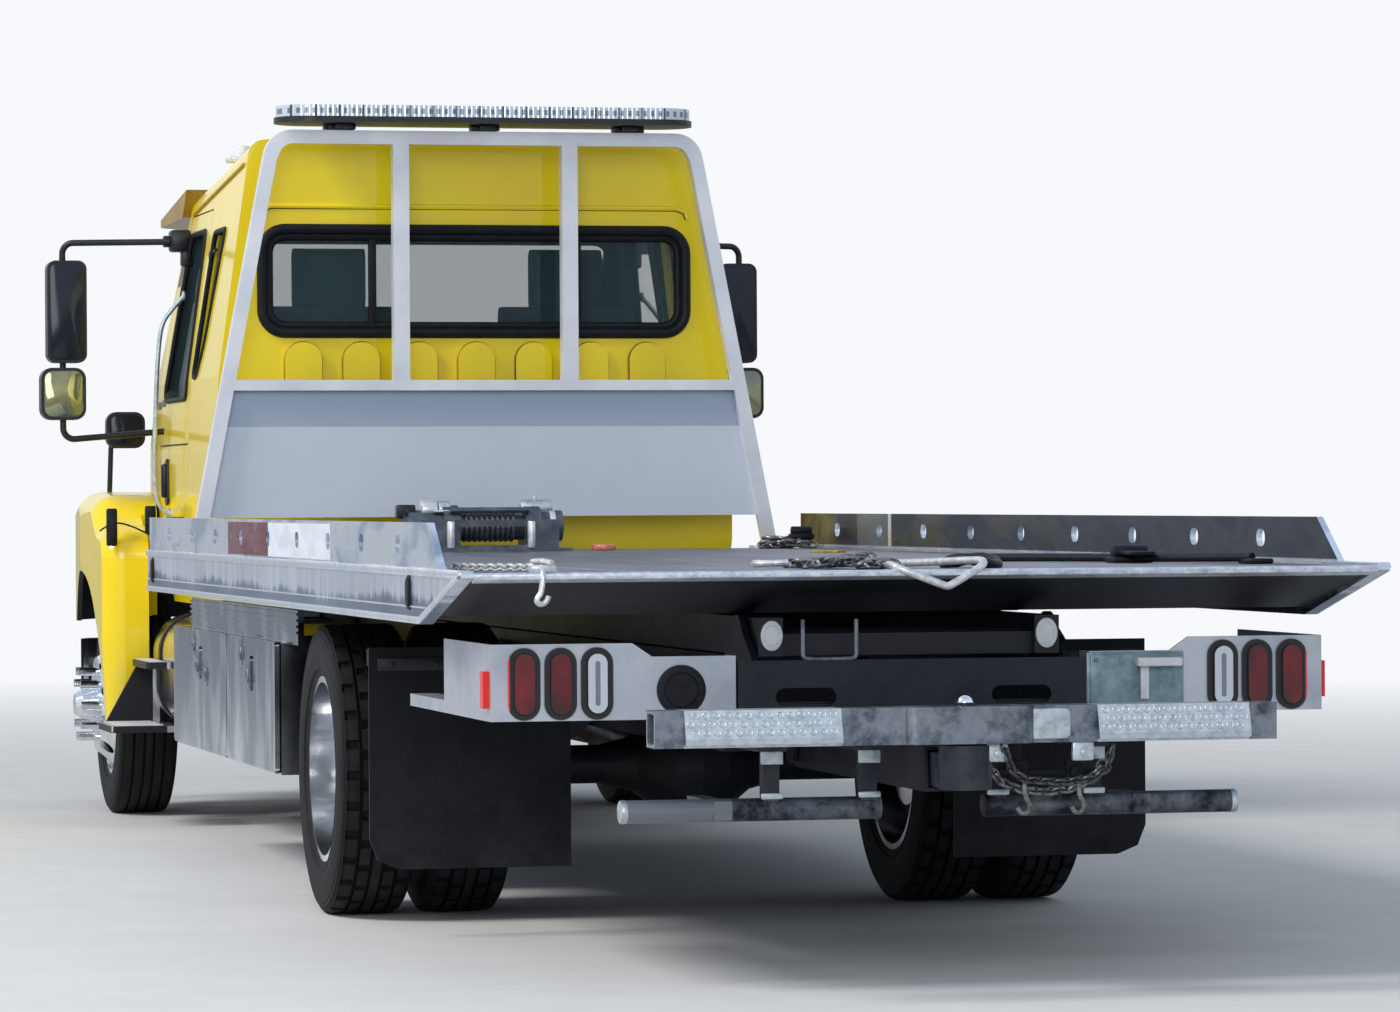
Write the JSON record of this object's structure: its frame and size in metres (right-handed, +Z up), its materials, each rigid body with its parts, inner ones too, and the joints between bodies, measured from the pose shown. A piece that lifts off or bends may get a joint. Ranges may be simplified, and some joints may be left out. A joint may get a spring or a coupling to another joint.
{
  "type": "tow truck",
  "caption": "Flatbed tow truck with a tilting, sliding bed, a wheel lift at the tail, toolboxes under the bed and a bonneted cab with opening doors and hood.",
  "frame": {"origin": "on the ground, centre of the truck's bounding box in plan", "axes": "+Y to the front of the truck, +X to its right-hand side, +Z up"},
  "size_m": [3.048, 10.06, 2.8149],
  "materials": {
    "chassis_black": "satin",
    "cab_yellow": "gloss",
    "aluminium": "satin",
    "polished_aluminium": "polished",
    "chrome": "polished",
    "glass": "gloss",
    "lens_red": "gloss",
    "lens_clear": "gloss",
    "amber_plastic": "gloss",
    "plastic_black": "matte",
    "seat_grey": "matte",
    "rubber": "matte",
    "tyre": "matte",
    "engine_grey": "matte",
    "exhaust_steel": "satin",
    "winch_grey": "satin",
    "chain_steel": "satin"
  },
  "bodies": {
    "chassis": {"frame_rails": "chassis_black", "tail_frame": "chassis_black", "rear_lamp_panels": "aluminium", "rear_lamps": "lens_red", "rear_axle": "chassis_black", "front_axle": "chassis_black", "driveline": "chassis_black", "engine": "engine_grey", "front_bumper": "chrome", "cab_shell": "cab_yellow", "cab_glass": "glass", "dashboard": "plastic_black", "seats": "seat_grey", "sun_visor": "amber_plastic", "fuel_tank": "polished_aluminium", "battery_box": "polished_aluminium", "exhaust": "exhaust_steel", "toolbox_left": "polished_aluminium", "toolbox_right": "polished_aluminium", "mudflaps": "rubber", "lift_arms": "chassis_black"},
    "hood": {"hood": "cab_yellow", "hood_mirrors": "plastic_black", "grille": "chrome", "headlamps": "lens_clear"},
    "door_left": {"door_left": "cab_yellow", "door_glass_left": "glass", "mirrors_left": "plastic_black"},
    "door_right": {"door_right": "cab_yellow", "door_glass_right": "glass", "mirrors_right": "plastic_black"},
    "knuckle_left": {"knuckle_left": "chassis_black"},
    "knuckle_right": {"knuckle_right": "chassis_black"},
    "wheel_front_left": {"tyre_front_left": "tyre", "rim_front_left": "polished_aluminium"},
    "wheel_front_right": {"tyre_front_right": "tyre", "rim_front_right": "polished_aluminium"},
    "wheels_rear_left": {"tyres_rear_left": "tyre", "rims_rear_left": "polished_aluminium"},
    "wheels_rear_right": {"tyres_rear_right": "tyre", "rims_rear_right": "polished_aluminium"},
    "steering_wheel": {"steering_wheel": "plastic_black"},
    "tilt_frame": {"tilt_frame": "chassis_black"},
    "tilt_barrels": {"tilt_barrels": "chassis_black"},
    "tilt_rods": {"tilt_rods": "chrome"},
    "bed": {"deck": "aluminium", "side_boards": "aluminium", "headboard": "aluminium", "light_bar": "lens_clear", "winch": "winch_grey", "bridle": "chain_steel"},
    "toolbox_door_rear_left": {"toolbox_door_rear_left": "polished_aluminium"},
    "toolbox_door_front_left": {"toolbox_door_front_left": "polished_aluminium"},
    "toolbox_door_rear_right": {"toolbox_door_rear_right": "polished_aluminium"},
    "toolbox_door_front_right": {"toolbox_door_front_right": "polished_aluminium"},
    "boom": {"boom": "chassis_black"},
    "stinger": {"stinger": "chassis_black"},
    "crossbar": {"crossbar": "chassis_black"},
    "lift_barrel": {"lift_barrel": "chassis_black"},
    "lift_rod": {"lift_rod": "chrome"}
  },
  "joints": [
    {"name": "bed_tilt", "type": "hinge", "parent": "chassis", "child": "tilt_frame", "pos_m": [0, -4.26, 0.93], "axis": [1, 0, 0], "range_deg": [0, 15]},
    {"name": "bed_slide", "type": "slide", "parent": "tilt_frame", "child": "bed", "axis": [0, -1, 0], "range_m": [0, 3.6]},
    {"name": "tilt_barrel_swing", "type": "hinge", "parent": "chassis", "child": "tilt_barrels", "pos_m": [0, -2.83, 0.65], "axis": [1, 0, 0], "range_deg": [0, 27]},
    {"name": "tilt_rod_slide", "type": "slide", "parent": "tilt_barrels", "child": "tilt_rods", "axis": [0, 0.9936, 0.1126], "range_m": [0, 0.2]},
    {"name": "boom_tilt", "type": "hinge", "parent": "chassis", "child": "boom", "pos_m": [0, -3.38, 0.585], "axis": [1, 0, 0], "range_deg": [0, 14]},
    {"name": "lift_barrel_swing", "type": "hinge", "parent": "chassis", "child": "lift_barrel", "pos_m": [0, -3.8, 0.826], "axis": [1, 0, 0], "range_deg": [0, 22]},
    {"name": "lift_rod_slide", "type": "slide", "parent": "lift_barrel", "child": "lift_rod", "axis": [0, -0.962, -0.273], "range_m": [0, 0.1]},
    {"name": "stinger_slide", "type": "slide", "parent": "boom", "child": "stinger", "axis": [0, -1, 0], "range_m": [0, 0.5]},
    {"name": "crossbar_swivel", "type": "hinge", "parent": "stinger", "child": "crossbar", "pos_m": [0, -4.96, 0.711], "axis": [0, 0, 1], "range_deg": [-20, 20]},
    {"name": "door_left_hinge", "type": "hinge", "parent": "chassis", "child": "door_left", "pos_m": [-1.024, 3.51, 1.8], "axis": [0, 0, 1], "range_deg": [-65, 0]},
    {"name": "door_right_hinge", "type": "hinge", "parent": "chassis", "child": "door_right", "pos_m": [1.024, 3.51, 1.8], "axis": [0, 0, 1], "range_deg": [0, 65]},
    {"name": "hood_tilt", "type": "hinge", "parent": "chassis", "child": "hood", "pos_m": [0, 4.935, 0.745], "axis": [-1, 0, 0], "range_deg": [0, 70]},
    {"name": "steer_left", "type": "hinge", "parent": "chassis", "child": "knuckle_left", "pos_m": [-0.9, 3.93, 0.46], "axis": [0, 0, 1], "range_deg": [-35, 35]},
    {"name": "steer_right", "type": "hinge", "parent": "chassis", "child": "knuckle_right", "pos_m": [0.9, 3.93, 0.46], "axis": [0, 0, 1], "range_deg": [-35, 35]},
    {"name": "steering_wheel_turn", "type": "hinge", "parent": "chassis", "child": "steering_wheel", "pos_m": [-0.48, 3.21, 1.64], "axis": [0, -0.6428, 0.766], "range_deg": [-640, 640]},
    {"name": "wheel_front_left_spin", "type": "hinge", "parent": "knuckle_left", "child": "wheel_front_left", "pos_m": [-1.072, 3.93, 0.46], "axis": [1, 0, 0], "continuous": true},
    {"name": "wheel_front_right_spin", "type": "hinge", "parent": "knuckle_right", "child": "wheel_front_right", "pos_m": [1.072, 3.93, 0.46], "axis": [1, 0, 0], "continuous": true},
    {"name": "wheels_rear_left_spin", "type": "hinge", "parent": "chassis", "child": "wheels_rear_left", "pos_m": [-0.93, -1.76, 0.46], "axis": [1, 0, 0], "continuous": true},
    {"name": "wheels_rear_right_spin", "type": "hinge", "parent": "chassis", "child": "wheels_rear_right", "pos_m": [0.93, -1.76, 0.46], "axis": [1, 0, 0], "continuous": true},
    {"name": "toolbox_rear_left_hinge", "type": "hinge", "parent": "chassis", "child": "toolbox_door_rear_left", "pos_m": [-1.218, -0.395, 0.412], "axis": [0, -1, 0], "range_deg": [0, 90]},
    {"name": "toolbox_front_left_hinge", "type": "hinge", "parent": "chassis", "child": "toolbox_door_front_left", "pos_m": [-1.218, 0.87, 0.412], "axis": [0, -1, 0], "range_deg": [0, 90]},
    {"name": "toolbox_rear_right_hinge", "type": "hinge", "parent": "chassis", "child": "toolbox_door_rear_right", "pos_m": [1.218, -0.395, 0.412], "axis": [0, 1, 0], "range_deg": [0, 90]},
    {"name": "toolbox_front_right_hinge", "type": "hinge", "parent": "chassis", "child": "toolbox_door_front_right", "pos_m": [1.218, 0.87, 0.412], "axis": [0, 1, 0], "range_deg": [0, 90]}
  ],
  "couplings": [
    {"joint": "tilt_barrel_swing", "follows": "bed_tilt", "ratio": 1.7771},
    {"joint": "tilt_rod_slide", "follows": "bed_tilt", "m_per_rad": 0.7494},
    {"joint": "lift_barrel_swing", "follows": "boom_tilt", "ratio": 1.5382},
    {"joint": "lift_rod_slide", "follows": "boom_tilt", "m_per_rad": 0.4035},
    {"joint": "steer_right", "follows": "steer_left", "ratio": 1},
    {"joint": "steering_wheel_turn", "follows": "steer_left", "ratio": 18}
  ]
}
